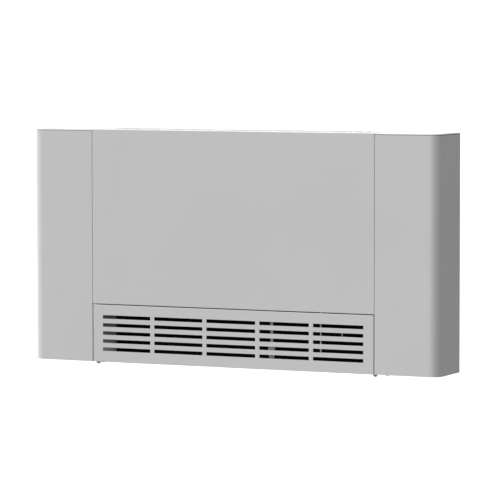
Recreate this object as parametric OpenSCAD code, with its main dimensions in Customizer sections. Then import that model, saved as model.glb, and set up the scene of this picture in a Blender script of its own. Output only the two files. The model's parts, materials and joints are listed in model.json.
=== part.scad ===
// Slim wall-hung fan coil unit, in millimetres.
// +X is to the right seen from the room, +Y points into the wall, +Z is up.
// The origin is on the wall plane, at the middle of the cabinet's lower edge.

/* [Cabinet] */
// Width of the cabinet over both cheeks
cab_w = 1098; // [1040:1:1400]
// Height of the cabinet from its lower edge to its top
cab_h = 580; // [570:1:660]
// Depth of the cabinet from the wall to its front face
cab_d = 134; // [130:1:160]
// Outside radius of the upright corners of the cheeks
corner_r = 25; // [12:1:40]
// Width of each cheek on the front
cheek_w = 166.5; // [160:0.5:200]
// Thickness of the painted sheet of the cabinet
sheet_t = 1.2; // [0.8:0.1:1.6]
// Outside radius of the folds of the front panel and the grille
bend_r = 1; // [0.6:0.1:2]
// Depth of the folded edges of the front panel
flange_d = 14; // [13:0.5:18]
// Depth of the strip that the front panel folds over the top
top_strip_d = 30; // [20:1:36]
// Joint between the front panel and the cheeks
panel_gap = 1; // [0.5:0.1:2]
// Thickness of the lids on the cheeks
lid_t = 1.5; // [1:0.1:2.5]
// Radius of the rounded edge of the lids
lid_edge_r = 2.8; // [2.5:0.1:2.9]
// Joint between a cheek and its lid
lid_gap = 1; // [0.5:0.1:2]

/* [Intake grille] */
// Height of the joint line between the grille and the front panel
grille_h = 145; // [140:1:152]
// Joint around the grille
grille_gap = 2.4; // [1:0.1:3]
// Thickness of the grille sheet
grille_t = 1.5; // [1:0.1:1.6]
// Depth of the folded edges of the grille
grille_flange_d = 12; // [8:0.5:12]
// Length of a slot
slot_l = 132.5; // [60:0.5:200]
// Height of a slot
slot_h = 9; // [4:0.5:12]
// Bar left between two slots of a row
slot_bar_x = 11; // [6:0.5:20]
// Bar left between two rows of slots
slot_bar_z = 11.2; // [8:0.1:20]
// Least plain border beside the slots
slot_margin_x = 24; // [16:0.5:60]
// Least plain border above the slots
slot_margin_z = 24; // [12:0.5:40]
// Height of the lowest slot row above the lower edge
slot_z0 = 31.8; // [20:0.1:40]
// Distance of the grille hinge behind the front face
hinge_back = 21; // [20:0.5:24]
// Distance of the grille hinge below the lower edge
hinge_drop = 1.5; // [1:0.1:3]
// Radius of the grille hinge pins
hinge_pin_r = 2.5; // [2:0.1:3]
// Outside radius of the round knuckles of the grille hinge
knuckle_r = 6.2; // [5.5:0.1:7]

/* [Outlet grille] */
// Height of the outlet grille
outlet_h = 14; // [12:0.5:20]
// Thickness of the outlet sheet
outlet_t = 1.5; // [1:0.1:2]
// Bar left between two rows of outlet slots
outlet_bar = 7; // [5:0.5:12]
// Least plain border in front of and behind the outlet slots
outlet_margin = 12; // [8:0.5:20]

/* [Chassis] */
// Thickness of the frame plates and rails
frame_t = 1.5; // [1:0.1:2]
// Width of the folded edges of the frame plates
frame_flange_w = 14; // [12:0.5:18]
// Thickness of the rear panel
rear_t = 1.5; // [1:0.1:2]
// Thickness of the foam on the rear panel
rear_foam_t = 8; // [6:0.5:10]
// Thickness of the foam on the front panel
front_foam_t = 5; // [3:0.5:8]
// Distance of a wall hole from the middle
wall_hole_x = 405; // [402:1:412]
// Height of the lower wall holes
wall_hole_z0 = 155; // [145:1:175]
// Distance of the upper wall holes below the top
wall_hole_top = 60; // [50:1:90]
// Radius of the wall holes
wall_hole_r = 5; // [4:0.1:6]

/* [Fan] */
// Outside radius of the fan rotor
rotor_r = 42; // [38:0.5:44]
// Radial depth of a fan blade
blade_d = 9; // [7:0.5:11]
// Thickness of a fan blade
blade_t = 1.3; // [1:0.1:1.8]
// Number of fan blades
blade_n = 24; // [16:1:28]
// Sections of the rotor between its discs
rotor_sections = 5; // [3:1:8]
// Thickness of the rotor discs
disc_t = 2; // [1.5:0.1:3]
// Radius of the fan shaft
shaft_r = 4; // [3:0.5:5]
// Radial clearance of shafts and pins that turn
run_clear = 0.06; // [0.04:0.01:0.1]
// Clearance between the rotor and the scroll at the rear
scroll_gap = 13; // [10:0.5:16]
// Thickness of the scroll sheet
scroll_t = 1.5; // [1:0.1:2]
// Clearance between the rotor and the tongue
tongue_gap = 6; // [4:0.5:9]

/* [Coil] */
// Lean of the coil towards the wall in degrees
coil_tilt = 15; // [10:0.5:16]
// Radius of the coil tubes
tube_r = 4.75; // [4:0.05:5]
// Wall of the coil tubes
tube_wall = 0.6; // [0.4:0.05:1]
// Distance between tubes along the coil
tube_pitch = 25; // [24:0.5:28]
// Distance between the two rows of tubes
row_pitch = 22; // [21:0.5:24]
// Depth of a fin
fin_d = 44; // [42:0.5:46]
// Thickness of a fin
fin_t = 0.5; // [0.3:0.1:1]
// Number of fins drawn along the coil
fin_n = 48; // [24:1:60]
// Radius of the headers and the pipes
pipe_r = 9; // [8:0.1:9.5]
// Wall of the headers and the pipes
pipe_wall = 1.2; // [0.8:0.1:2]
// Radius of the male pipe connections
spigot_r = 13.2; // [12:0.1:15]
// Length of the male pipe connections
spigot_l = 20; // [14:1:26]
// Distance between the two pipe connections
pipe_spacing = 50; // [45:1:56]

/* [Drain] */
// Depth of the drain pan
pan_h = 28; // [24:1:32]
// Wall of the drain pan
pan_t = 2; // [1.5:0.1:3]
// Outside radius of the drain spigot
drain_r = 8; // [7:0.5:9]

/* [Filter] */
// Thickness of the filter frame
filter_t = 6; // [5:0.5:8]
// Width of the bars of the filter frame
filter_bar_w = 8; // [6:0.5:10]
// Windows of the filter frame
filter_windows = 5; // [3:1:8]
// Width of the pull tab
tab_w = 3.6; // [3:0.1:8]
// Place of the pull tab to the right of the middle
tab_x = 233.7; // [150:0.1:300]
// Place of the air probe to the right of the middle
probe_x = 103; // [60:1:140]

/* [Motor and controls] */
// Radius of the motor housing
motor_r = 44; // [38:1:46]
// Length of the motor housing
motor_l = 52; // [40:1:60]
// Length of the motor lead between the motor and the control box
lead_l = 74; // [50:1:90]
// Wall of the control box
box_t = 2; // [1.5:0.1:3]
// Depth of the control box from the frame plate
box_d = 60; // [50:1:70]
// Radius of the cable hole in the gland
cable_r = 4.5; // [3:0.1:5]
// Radius of the control knobs
knob_r = 17; // [12:0.5:20]
// Height of the control knobs
knob_h = 15; // [10:0.5:18]

/* [Hidden] */
$fn = 64;

// A cut reaches this far past the face that it opens
cut = 1;
// Clearance of pieces that pass each other without touching
pass = 0.5;
// Clearance of a tilted piece at its seat
seat = 0.05;

// Planes of the cabinet
half_w = cab_w / 2;
half_core = half_w - cheek_w;
front_y = -cab_d;
panel_x = half_core - panel_gap;
cheek_h = cab_h - lid_edge_r - lid_gap;

// Planes of the chassis
wall_hole_z1 = cab_h - wall_hole_top;
core_gap = 1;
frame_x1 = half_core - core_gap;
frame_x0 = frame_x1 - frame_t;
frame_flange_x = frame_x1 - frame_flange_w;
frame_y0 = front_y + flange_d;
rear_y = -rear_t;
frame_h = cab_h - outlet_h;
foam_y = rear_y - rear_foam_t;
duct_y = foam_y - scroll_t;

// Grille
grille_x = half_core - grille_gap;
grille_top = grille_h - grille_gap;
hinge_y = front_y + hinge_back;
hinge_z = -hinge_drop;
slot_pitch_x = slot_l + slot_bar_x;
slot_pitch_z = slot_h + slot_bar_z;
slot_cols = floor((2 * grille_x - 2 * slot_margin_x + slot_bar_x) / slot_pitch_x);
slot_rows = 1 + floor((grille_top - slot_margin_z - slot_z0 - slot_h / 2) / slot_pitch_z);
lug_w = 3.5;
knuckle_w = 4.2;
lug_x = frame_x0 - lug_w;
knuckle_x = lug_x - pass - knuckle_w;

// Outlet grille
outlet_y0 = front_y + top_strip_d + pass;
outlet_y1 = rear_y - pass;
outlet_pitch = slot_h + outlet_bar;
outlet_rows = floor((outlet_y1 - outlet_y0 - 2 * outlet_margin + outlet_bar) / outlet_pitch);

// Cross rail over the grille
rail_h = 19;
rail_y1 = frame_y0 + frame_t;

// Filter, above the intake space
filter_lift = 3.5;
filter_side = 4;
filter_edge = 2.5;
filter_rail_z = grille_h + filter_lift;
filter_z = filter_rail_z + frame_t;
filter_y0 = rail_y1 + filter_edge;
filter_y1 = foam_y - filter_edge - 2;
filter_x = frame_x0 - filter_side;

// Fan axis
fan_y = duct_y - scroll_gap - rotor_r;
filter_room = 14;
bearing_room = 30;
motor_room = 35;
fan_z = filter_z + filter_t + filter_room + rotor_r;
rotor_x0 = -(frame_x0 - bearing_room);
rotor_x1 = frame_x0 - motor_room;
hub_l = 24;
hub_wall = 9;
hub_r = shaft_r + hub_wall;

// Drain pan, above the fan tongue
tongue_h = 24;
pan_side = 4;
drain_out = 30;
pan_z = fan_z + rotor_r + tongue_h;
pan_x = frame_x0 - pan_side;
pan_y0 = rail_y1 + pass;
drain_x = -(frame_x1 + drain_out);

// Coil: u runs up the fins and v across them, towards the wall
coil_front = 2;
coil_lift = 12;
coil_top_room = 42;
bend_room = 34;
header_room = 46;
header_out = 28;
pan_reach = 8;
coil_mid_y = (rail_y1 + coil_front + duct_y) / 2;
coil_z = pan_z + pan_t + coil_lift + fin_d / 2 * sin(coil_tilt);
tube_n = floor((frame_h - coil_top_room - coil_z) / (tube_pitch * cos(coil_tilt)));
coil_h = tube_n * tube_pitch;
coil_y = coil_mid_y - coil_h / 2 * sin(coil_tilt);
function coil_pt_y(v, u) = coil_y + v * cos(coil_tilt) + u * sin(coil_tilt);
function coil_pt_z(v, u) = coil_z - v * sin(coil_tilt) + u * cos(coil_tilt);
end_plate_t = 1.5;
coil_x0 = -(frame_x0 - header_room);
coil_x1 = frame_x0 - bend_room;
header_x = coil_x0 - header_out;
row_v = row_pitch / 2;
header_socket = 5;
pan_y1 = coil_pt_y(fin_d / 2, 0) + pan_reach;

// Pipes in the left cheek
pipe_clear = 4;
supply_out = 73.5;
pipe_drop = 16;
nut_h = 18;
nut_wall = 5;
nut_socket = 12;
supply_u = (pan_z + pan_h + pipe_r + pipe_clear - coil_pt_z(row_v, 0)) / cos(coil_tilt);
return_u = coil_h - tube_pitch;
supply_x = -(frame_x1 + supply_out);
return_x = supply_x - pipe_spacing;
pipe_end_z = pan_z - pipe_drop;

// Motor in the right cheek
motor_boss_wall = 16;
motor_rubber_w = 10;
motor_out = 8.5;
bracket_border = 22;
motor_boss_r = shaft_r + motor_boss_wall;
motor_ring_r = motor_boss_r + motor_rubber_w;
motor_x0 = frame_x1 + motor_out;

// Control plate under the right lid
plate_drop = 34;
plate_t = 2;
plate_fold_h = 20;
plate_edge = 1.5;
plate_side = 9;
plate_rear = 18;
switch_w = 40;
switch_h = 26;
knob_inset = 50;
plate_z = cab_h - plate_drop;
plate_y0 = rail_y1 + plate_edge;
plate_y1 = -plate_rear;
knob_y = (plate_y0 + plate_y1) / 2;
thermostat_x = frame_x1 + knob_inset;
speed_x = half_w - knob_inset - core_gap;
stem_r = 3;
stem_l = 18;

// Control box over the motor
box_front = 6.5;
box_rear = 14.5;
switch_room = 20;
gland_up = 50;
gland_wall = 3;
gland_l = 17;
nut_l = 8;
board_lift = 5;
board_t = 1.6;
board_edge = 6;
box_x1 = frame_x1 + box_d;
box_y0 = rail_y1 + box_front;
box_y1 = foam_y - box_rear;
box_z0 = fan_z + motor_r + lead_l;
box_z1 = plate_z - switch_h - switch_room;
gland_x = frame_x1 + box_d / 2;
gland_z = box_z0 + gland_up;

// Lid hinges, behind the rear corner posts of the cheeks
lid_axis_y = -9;
lid_pin_r = 1.5;
lid_eye_r = 3;
lid_axis_z = cab_h - lid_t - lid_eye_r - pass;
lid_lug_w = 6;
lid_eye_w = 8;
lug_in = 18;
lug_out = 59;
lug_foot = 25;
lid_lug_x = [half_core + lug_in, half_w - lug_out];

// The notch of a lid swings clear of the post, and its rear edge clear of the rear panel
swing_clear = 0.3;
notch_room = 3.2;
post_w = 11;
post_h = cab_h - lid_axis_z;
notch_d = post_h + notch_room;
lid_notch_y = lid_axis_y - notch_d;
post_y = lid_axis_y - sqrt(notch_d * notch_d - post_h * post_h) + swing_clear;
lid_swing_r = -lid_axis_y - rear_t - swing_clear;
lid_rear_y = lid_axis_y + sqrt(lid_swing_r * lid_swing_r - post_h * post_h);

// Ears of the rear panel behind the cheeks
ear_side = 12;
ear_drop = 50;
ear_top = 4;
ear_half_h = 45;
ear_r = 8;
ear_x = half_w - ear_side;
ear_z0 = wall_hole_z1 - ear_drop;
ear_z1 = cab_h - ear_top;
lid_post_z = ear_z1 - lug_foot;

// Screws under the cheeks
cheek_screw_x = half_core + 5.5;
cheek_screw_y = -65;
cheek_screw_r = 2.4;
screw_clear = 0.1;

// Room around the pipes and the shaft in the frame plates
pipe_hole_room = 2;
shaft_hole_room = 3;

// Helpers

// A box between two corners given as ranges
module span(x, y, z) {
    translate([x[0], y[0], z[0]]) cube([x[1] - x[0], y[1] - y[0], z[1] - z[0]]);
}

// A flat shape drawn in (y, z), extruded along X
module along_x(x0, x1) {
    translate([x0, 0, 0]) rotate([90, 0, 90]) linear_extrude(x1 - x0) children();
}

// A flat shape drawn in (x, z), extruded along Y
module along_y(y0, y1) {
    translate([0, y1, 0]) rotate([90, 0, 0]) linear_extrude(y1 - y0) children();
}

// A flat shape drawn in (x, y), extruded along Z
module along_z(z0, z1) {
    translate([0, 0, z0]) linear_extrude(z1 - z0) children();
}

module rod_x(x0, x1, y, z, r) {
    translate([x0, y, z]) rotate([0, 90, 0]) cylinder(h = x1 - x0, r = r);
}

module rod_y(x, y0, y1, z, r) {
    translate([x, y1, z]) rotate([90, 0, 0]) cylinder(h = y1 - y0, r = r);
}

module rod_z(x, y, z0, z1, r) {
    translate([x, y, z0]) cylinder(h = z1 - z0, r = r);
}

module both_sides() {
    children();
    mirror([1, 0, 0]) children();
}

// A rectangle in the plane
module rect(a0, a1, b0, b1) {
    translate([a0, b0]) square([a1 - a0, b1 - b0]);
}

// A rectangle with rounded corners
module rect_round(a0, a1, b0, b1, r) {
    rect(a0 + r, a1 - r, b0, b1);
    rect(a0, a1, b0 + r, b1 - r);
    for (a = [a0 + r, a1 - r], b = [b0 + r, b1 - r]) translate([a, b]) circle(r);
}

// A rectangle with its two lower corners rounded
module rect_round_low(a0, a1, b0, b1, r) {
    rect(a0 + r, a1 - r, b0, b1);
    rect(a0, a1, b0 + r, b1);
    translate([a0 + r, b0 + r]) circle(r);
    translate([a1 - r, b0 + r]) circle(r);
}

// A rectangle in (y, z) with its two front corners rounded
module rect_round_front(y0, y1, z0, z1, r) {
    rect(y0 + r, y1, z0, z1);
    rect(y0, y1, z0 + r, z1 - r);
    translate([y0 + r, z0 + r]) circle(r);
    translate([y0 + r, z1 - r]) circle(r);
}

// A folded sheet pan, open towards the wall, with rounded front edges
module pan(half_width, y0, y1, z0, z1, t) {
    difference() {
        intersection() {
            along_x(-half_width, half_width) rect_round_front(y0, y1, z0, z1, bend_r);
            along_z(z0, z1) rect_round_low(-half_width, half_width, y0, y1, bend_r);
        }
        span([t - half_width, half_width - t], [y0 + t, y1 + cut], [z0 + t, z1 - t]);
    }
}

// Slots through a sheet whose face lies in the plane y = 0, with the first row at z
module slot_field(rows, pitch, z, t) {
    x0 = -((slot_cols - 1) * slot_pitch_x + slot_l) / 2;
    for (col = [0 : slot_cols - 1], row = [0 : rows - 1])
        translate([x0 + col * slot_pitch_x, -cut, z + row * pitch - slot_h / 2])
            cube([slot_l, t + 2 * cut, slot_h]);
}

// Places children in the frame of the coil: x along it, y across the fins, z up the fins
module in_coil() {
    translate([0, coil_y, coil_z]) rotate([-coil_tilt, 0, 0]) children();
}

// Cabinet

module front_panel() {
    color("lightgray") {
        pan(panel_x, front_y, frame_y0, grille_h, cab_h, sheet_t);
        span([-panel_x, panel_x], [front_y + bend_r, front_y + top_strip_d], [cab_h - sheet_t, cab_h]);
    }
}

// Plan of the right cheek's outside, with its rounded front corner
module cheek_plan(inset) {
    x0 = half_core + inset;
    x1 = half_w - inset;
    y0 = front_y + inset;
    r = corner_r - inset;
    rect(x0, x1 - r, y0, 0);
    rect(x0, x1, y0 + r, 0);
    translate([x1 - r, y0 + r]) circle(r);
}

module cheek() {
    lip_w = 10;
    foot_x1 = cheek_screw_x + 12;
    edge_z = cab_h - lid_edge_r;
    difference() {
        union() {
            along_z(0, cheek_h) {
                difference() {
                    cheek_plan(0);
                    translate([0, cut]) cheek_plan(sheet_t);
                    rect(half_core - cut, half_core + 2 * sheet_t, frame_y0, cut);
                    rect(half_core - cut, half_w - 2 * sheet_t, -sheet_t, cut);
                }
                rect(half_w - lip_w, half_w, -sheet_t, 0);
            }
            span([half_core, foot_x1], [front_y + bend_r, cheek_screw_y + 12], [0, frame_t]);
            // Corner post that stands beside the lid
            span([half_w - sheet_t, half_w], [post_y, 0], [cheek_h - cut, edge_z]);
            span([half_w - lip_w, half_w], [-sheet_t, 0], [cheek_h - cut, edge_z]);
            span([half_w - lip_w, half_w - lid_edge_r], [-sheet_t, 0], [edge_z - cut, cab_h - lid_t]);
            translate([half_w, 0, edge_z]) along_y(post_y, 0) mirror([1, 0]) lid_section(post_w);
        }
        rod_z(cheek_screw_x, cheek_screw_y, -cut, frame_t + cut, cheek_screw_r + screw_clear);
    }
}

module left_cheek() {
    color("lightgray") mirror([1, 0, 0]) cheek();
}

module right_cheek() {
    color("lightgray") cheek();
}

// Section of a lid from its outer edge: a rim with a rounded top edge, and the plate
module lid_section(w) {
    intersection() {
        translate([lid_edge_r, 0]) circle(lid_edge_r);
        rect(0, lid_edge_r, 0, lid_edge_r);
    }
    rect(lid_edge_r, w, lid_edge_r - lid_t, lid_edge_r);
}

// The lid before its notch is cut: the section runs along the front, around the corner and along the side
module lid_blank() {
    x = half_w - corner_r;
    y = front_y + corner_r;
    translate([0, 0, cab_h - lid_edge_r]) {
        translate([0, front_y, 0]) along_x(half_core, x) lid_section(corner_r);
        translate([x, y, 0]) rotate([0, 0, -90]) rotate_extrude(angle = 90)
            translate([corner_r, 0]) mirror([1, 0]) lid_section(corner_r);
        translate([half_w, 0, 0]) along_y(y, 0) mirror([1, 0]) lid_section(corner_r);
    }
    span([half_core, x], [y, 0], [cab_h - lid_t, cab_h]);
}

module lid() {
    difference() {
        union() {
            intersection() {
                lid_blank();
                along_z(cheek_h, cab_h + cut) {
                    rect(half_core - cut, half_w + cut, front_y - cut, lid_notch_y);
                    rect(half_core - cut, half_w - post_w - lid_gap, front_y - cut, lid_rear_y);
                }
            }
            for (side = [0, 1]) lid_eye(lid_eye_x(side));
        }
        for (side = [0, 1])
            rod_x(lid_eye_x(side) - cut, lid_eye_x(side) + lid_eye_w + cut, lid_axis_y, lid_axis_z,
                lid_pin_r + run_clear);
    }
}

// The eye stands on the inner side of each bracket
function lid_eye_x(side) = side == 0 ? lid_lug_x[0] + lid_lug_w + pass : lid_lug_x[1] - pass - lid_eye_w;

module lid_eye(x) {
    along_x(x, x + lid_eye_w) {
        translate([lid_axis_y, lid_axis_z]) circle(lid_eye_r);
        rect(lid_axis_y - lid_eye_r, lid_axis_y + lid_eye_r, lid_axis_z, cab_h - lid_t / 2);
    }
}

module left_lid() {
    color("lightgray") mirror([1, 0, 0]) lid();
}

module right_lid() {
    color("lightgray") lid();
}

module lid_hinge_brackets() {
    foot_h = 8;
    color("silver") both_sides() for (x = lid_lug_x) difference() {
        along_x(x, x + lid_lug_w) {
            translate([lid_axis_y, lid_axis_z]) circle(lid_eye_r);
            rect(lid_axis_y - lid_eye_r, lid_axis_y + lid_eye_r, lid_post_z, lid_axis_z);
            rect(lid_axis_y - lid_eye_r, rear_y, lid_post_z, lid_post_z + foot_h);
        }
        rod_x(x - cut, x + lid_lug_w + cut, lid_axis_y, lid_axis_z, lid_pin_r);
    }
}

module lid_hinge_pins() {
    l = lid_lug_w + pass + lid_eye_w;
    color("gray") both_sides() for (x = [lid_lug_x[0], lid_eye_x(1)])
        rod_x(x, x + l, lid_axis_y, lid_axis_z, lid_pin_r);
}

// The part of the round hinge knuckle between two planes across its pin
module hinge_ball(x0, x1) {
    mid_x = lug_x - pass / 2;
    translate([mid_x, hinge_y, hinge_z]) rotate([0, 90, 0]) rotate_extrude() intersection() {
        circle(knuckle_r);
        rect(0, knuckle_r, x0 - mid_x, x1 - mid_x);
    }
}

module intake_grille() {
    knuckle_x1 = knuckle_x + knuckle_w;
    color("lightgray") difference() {
        union() {
            pan(grille_x, front_y, front_y + grille_flange_d, 0, grille_top, grille_t);
            both_sides() {
                hinge_ball(knuckle_x, knuckle_x1);
                span([knuckle_x, knuckle_x1], [front_y + grille_t, hinge_y], [0, grille_t]);
            }
        }
        translate([0, front_y, 0]) slot_field(slot_rows, slot_pitch_z, slot_z0, grille_t);
        both_sides() rod_x(knuckle_x - cut, lug_x, hinge_y, hinge_z, hinge_pin_r + run_clear);
    }
}

module grille_hinge_brackets() {
    bracket_w = 10;
    bracket_z = 22;
    color("silver") both_sides() difference() {
        union() {
            hinge_ball(lug_x, frame_x0);
            span([lug_x, frame_x0], [hinge_y - bracket_w / 2, hinge_y + bracket_w / 2], [hinge_z, bracket_z]);
        }
        rod_x(lug_x - cut, frame_x0 + cut, hinge_y, hinge_z, hinge_pin_r);
    }
}

module grille_hinge_pins() {
    color("gray") both_sides() rod_x(knuckle_x - cut, frame_x0, hinge_y, hinge_z, hinge_pin_r);
}

// Magnets on the cross rail that hold the grille shut
magnet_x = 300;
magnet_w = 20;
magnet_y0 = front_y + grille_flange_d + 0.3;

module grille_magnets() {
    color("dimgray") both_sides()
        span([magnet_x, magnet_x + magnet_w], [magnet_y0, frame_y0], [grille_top - 8, grille_h - pass]);
}

module cheek_screws() {
    head_h = 8.5;
    head_r = 4.5;
    color("dimgray") both_sides() {
        rod_z(cheek_screw_x, cheek_screw_y, -head_h, 0, head_r);
        rod_z(cheek_screw_x, cheek_screw_y, -cut, 3 * frame_t, cheek_screw_r);
    }
}

// Folded outlet sheet that lies on the frame plates, with rows of slots
module outlet_grille() {
    slots_d = (outlet_rows - 1) * outlet_pitch;
    color("lightgray") translate([0, 0, cab_h]) rotate([-90, 0, 0]) difference() {
        pan(panel_x, 0, outlet_h, outlet_y0, outlet_y1, outlet_t);
        slot_field(outlet_rows, outlet_pitch, (outlet_y0 + outlet_y1 - slots_d) / 2, outlet_t);
    }
}

// Chassis

// Pressed beads that stiffen the rear panel
bead_r = 6;
bead_rise = 3;
bead_n = 4;
bead_end = 60;
bead_x = frame_flange_x - bead_end;

// Rods with round ends that give the beads their inside, their outside or the room around them
module beads(r) {
    pitch = (frame_h - 2 * bead_end) / (bead_n - 1);
    for (i = [0 : bead_n - 1]) translate([0, bead_r - bead_rise, bead_end + i * pitch]) {
        rod_x(-bead_x, bead_x, 0, 0, r);
        both_sides() translate([bead_x, 0, 0]) sphere(r);
    }
}

module rear_panel() {
    ear_low_x = wall_hole_x + 4 * wall_hole_r;
    color("silver") difference() {
        union() {
            along_y(rear_y, 0) {
                rect(-frame_x1, frame_x1, 0, cab_h - 2);
                rect_round(-ear_x, ear_x, ear_z0, ear_z1, ear_r);
                rect_round(-ear_low_x, ear_low_x, wall_hole_z0 - ear_half_h, wall_hole_z0 + ear_half_h, ear_r);
            }
            intersection() {
                beads(bead_r + rear_t);
                span([-frame_x1, frame_x1], [foam_y, rear_y / 2], [0, cab_h]);
            }
        }
        beads(bead_r);
        for (x = [-wall_hole_x, wall_hole_x], z = [wall_hole_z0, wall_hole_z1])
            rod_y(x, rear_y - cut, cut, z, wall_hole_r);
        both_sides() for (z = frame_screw_z)
            rod_y(frame_screw_x, rear_y - cut, cut, z, frame_screw_r + screw_clear);
    }
}

// Screws that hold the frame plates to the rear panel
frame_screw_x = frame_x1 - frame_flange_w / 2;
frame_screw_r = 2;
frame_screw_end = 80;
frame_screw_z = [for (i = [0 : 2]) frame_screw_end + i * (frame_h / 2 - frame_screw_end)];

module frame_plate() {
    tab_end = 8;
    tab_half_w = 10;
    difference() {
        union() {
            span([frame_x0, frame_x1], [frame_y0, rear_y], [0, frame_h]);
            span([frame_flange_x, frame_x1], [frame_y0, rail_y1], [grille_h, frame_h]);
            span([frame_flange_x, frame_x1], [rear_y - frame_t, rear_y], [0, frame_h]);
            span([frame_flange_x, frame_x1], [frame_y0, rear_y], [frame_h - frame_t, frame_h]);
            span([frame_x0, cheek_screw_x + tab_end], [cheek_screw_y - tab_half_w, cheek_screw_y + tab_half_w],
                [frame_t, 2 * frame_t]);
        }
        rod_z(cheek_screw_x, cheek_screw_y, 0, 3 * frame_t, cheek_screw_r + screw_clear);
        for (z = frame_screw_z)
            rod_y(frame_screw_x, rear_y - frame_t - cut, cut, z, frame_screw_r + screw_clear);
    }
}

module left_frame_plate() {
    hole_x = [-frame_x1 - cut, -frame_x0 + cut];
    pipe_hole_r = pipe_r + pipe_hole_room;
    color("silver") difference() {
        mirror([1, 0, 0]) frame_plate();
        rod_x(hole_x[0], hole_x[1], fan_y, fan_z, bearing_rubber_r + shaft_hole_room);
        rod_x(hole_x[0], hole_x[1], coil_pt_y(row_v, supply_u), coil_pt_z(row_v, supply_u), pipe_hole_r);
        rod_x(hole_x[0], hole_x[1], coil_pt_y(-row_v, return_u), coil_pt_z(-row_v, return_u), pipe_hole_r);
        rod_x(hole_x[0], hole_x[1], drain_y, drain_z, drain_r + cut);
    }
}

module right_frame_plate() {
    color("silver") difference() {
        frame_plate();
        rod_x(frame_x0 - cut, frame_x1 + cut, fan_y, fan_z, motor_ring_r + shaft_hole_room);
    }
}

module cross_rail() {
    lip_d = 10;
    magnet_tab_h = 12;
    color("silver") {
        span([-frame_flange_x, frame_flange_x], [frame_y0, rail_y1], [grille_h, grille_h + rail_h]);
        span([-frame_flange_x, frame_flange_x], [frame_y0, frame_y0 + lip_d],
            [grille_h + rail_h - frame_t, grille_h + rail_h]);
        both_sides() span([magnet_x, magnet_x + magnet_w], [frame_y0, rail_y1],
            [grille_h - magnet_tab_h, grille_h + cut]);
    }
}

// Foam on the rear panel, thinner where it runs over the folded edges of the frame plates
module rear_insulation() {
    x = frame_flange_x - pass;
    end_room = 4;
    border_t = 4;
    z = [end_room, frame_h - frame_t - end_room];
    color("black") difference() {
        union() {
            span([-x, x], [foam_y, rear_y], z);
            span([-frame_x0, frame_x0], [foam_y, foam_y + border_t], z);
        }
        beads(bead_r + rear_t + pass);
    }
}

module front_insulation() {
    x = panel_x - 8;
    color("black") span([-x, x], [front_y + sheet_t, front_y + sheet_t + front_foam_t],
        [grille_h + rail_h + 3, cab_h - 20]);
}

module frame_screws() {
    head_r = 4;
    head_h = 2.2;
    color("gray") both_sides() for (z = frame_screw_z) {
        rod_y(frame_screw_x, rear_y - frame_t - head_h, rear_y - frame_t, z, head_r);
        rod_y(frame_screw_x, rear_y - frame_t - cut, -0.3, z, frame_screw_r);
    }
}

// Fan

// One blade in the plane, curved forwards from the inner to the outer radius
function blade_point(t, side) =
    let (r = rotor_r - blade_d * (1 - t), a = 14 * t * t + side * blade_t / 2 / r * 180 / PI)
    [r * cos(a), r * sin(a)];
blade_steps = 4;
blade_outline = concat(
    [for (i = [0 : blade_steps]) blade_point(i / blade_steps, -1)],
    [for (i = [blade_steps : -1 : 0]) blade_point(i / blade_steps, 1)]
);

module cross_flow_fan() {
    disc_pitch = (rotor_x1 - rotor_x0 - disc_t) / rotor_sections;
    ring_w = 4;
    color("dimgray") difference() {
        union() {
            along_x(rotor_x0 + disc_t / 2, rotor_x1 - disc_t / 2) translate([fan_y, fan_z])
                for (i = [0 : blade_n - 1]) rotate(i * 360 / blade_n) polygon(blade_outline);
            for (i = [0 : rotor_sections]) difference() {
                x = rotor_x0 + i * disc_pitch;
                rod_x(x, x + disc_t, fan_y, fan_z, rotor_r + 0.5);
                if (i > 0 && i < rotor_sections)
                    rod_x(x - cut, x + disc_t + cut, fan_y, fan_z, rotor_r - blade_d - ring_w);
            }
            rod_x(rotor_x0, rotor_x0 + hub_l, fan_y, fan_z, hub_r);
            rod_x(rotor_x1 - hub_l, rotor_x1, fan_y, fan_z, hub_r);
        }
        rod_x(rotor_x0 - cut, rotor_x0 + hub_l + cut, fan_y, fan_z, shaft_r);
        rod_x(rotor_x1 - hub_l - cut, rotor_x1 + cut, fan_y, fan_z, shaft_r);
    }
}

module fan_stub_shaft() {
    color("gray") rod_x(-(frame_x1 + 12), rotor_x0 + hub_l, fan_y, fan_z, shaft_r);
}

module motor_shaft() {
    color("gray") rod_x(rotor_x1 - hub_l, motor_x0 + motor_l / 2, fan_y, fan_z, shaft_r);
}

// Bearing of the stub shaft, in its rubber seat on the left frame plate
bearing_r = shaft_r + 3;
bearing_rubber_r = shaft_r + 11;
bearing_plate_t = 6;
bearing_border = 13;

module fan_bearing() {
    color("goldenrod") difference() {
        rod_x(-(frame_x1 + bearing_plate_t + 3), -(frame_x0 - 2), fan_y, fan_z, bearing_r);
        rod_x(-(frame_x1 + bearing_plate_t + 4), -(frame_x0 - 3), fan_y, fan_z, shaft_r + run_clear);
    }
}

module bearing_rubber() {
    color("black") difference() {
        rod_x(-(frame_x1 + bearing_plate_t), -frame_x1, fan_y, fan_z, bearing_rubber_r);
        rod_x(-(frame_x1 + bearing_plate_t + cut), -frame_x1 + cut, fan_y, fan_z, bearing_r);
    }
}

module bearing_plate() {
    w = bearing_rubber_r + bearing_border;
    color("dimgray") along_x(-(frame_x1 + bearing_plate_t), -frame_x1) translate([fan_y, fan_z]) difference() {
        rect_round(-w, w, -w, w, bearing_border / 2);
        circle(bearing_rubber_r);
    }
}

// Scroll behind the rotor: an arc that opens into an upright duct wall
scroll_ease = 2.5;
scroll_rise = 4;

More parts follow.
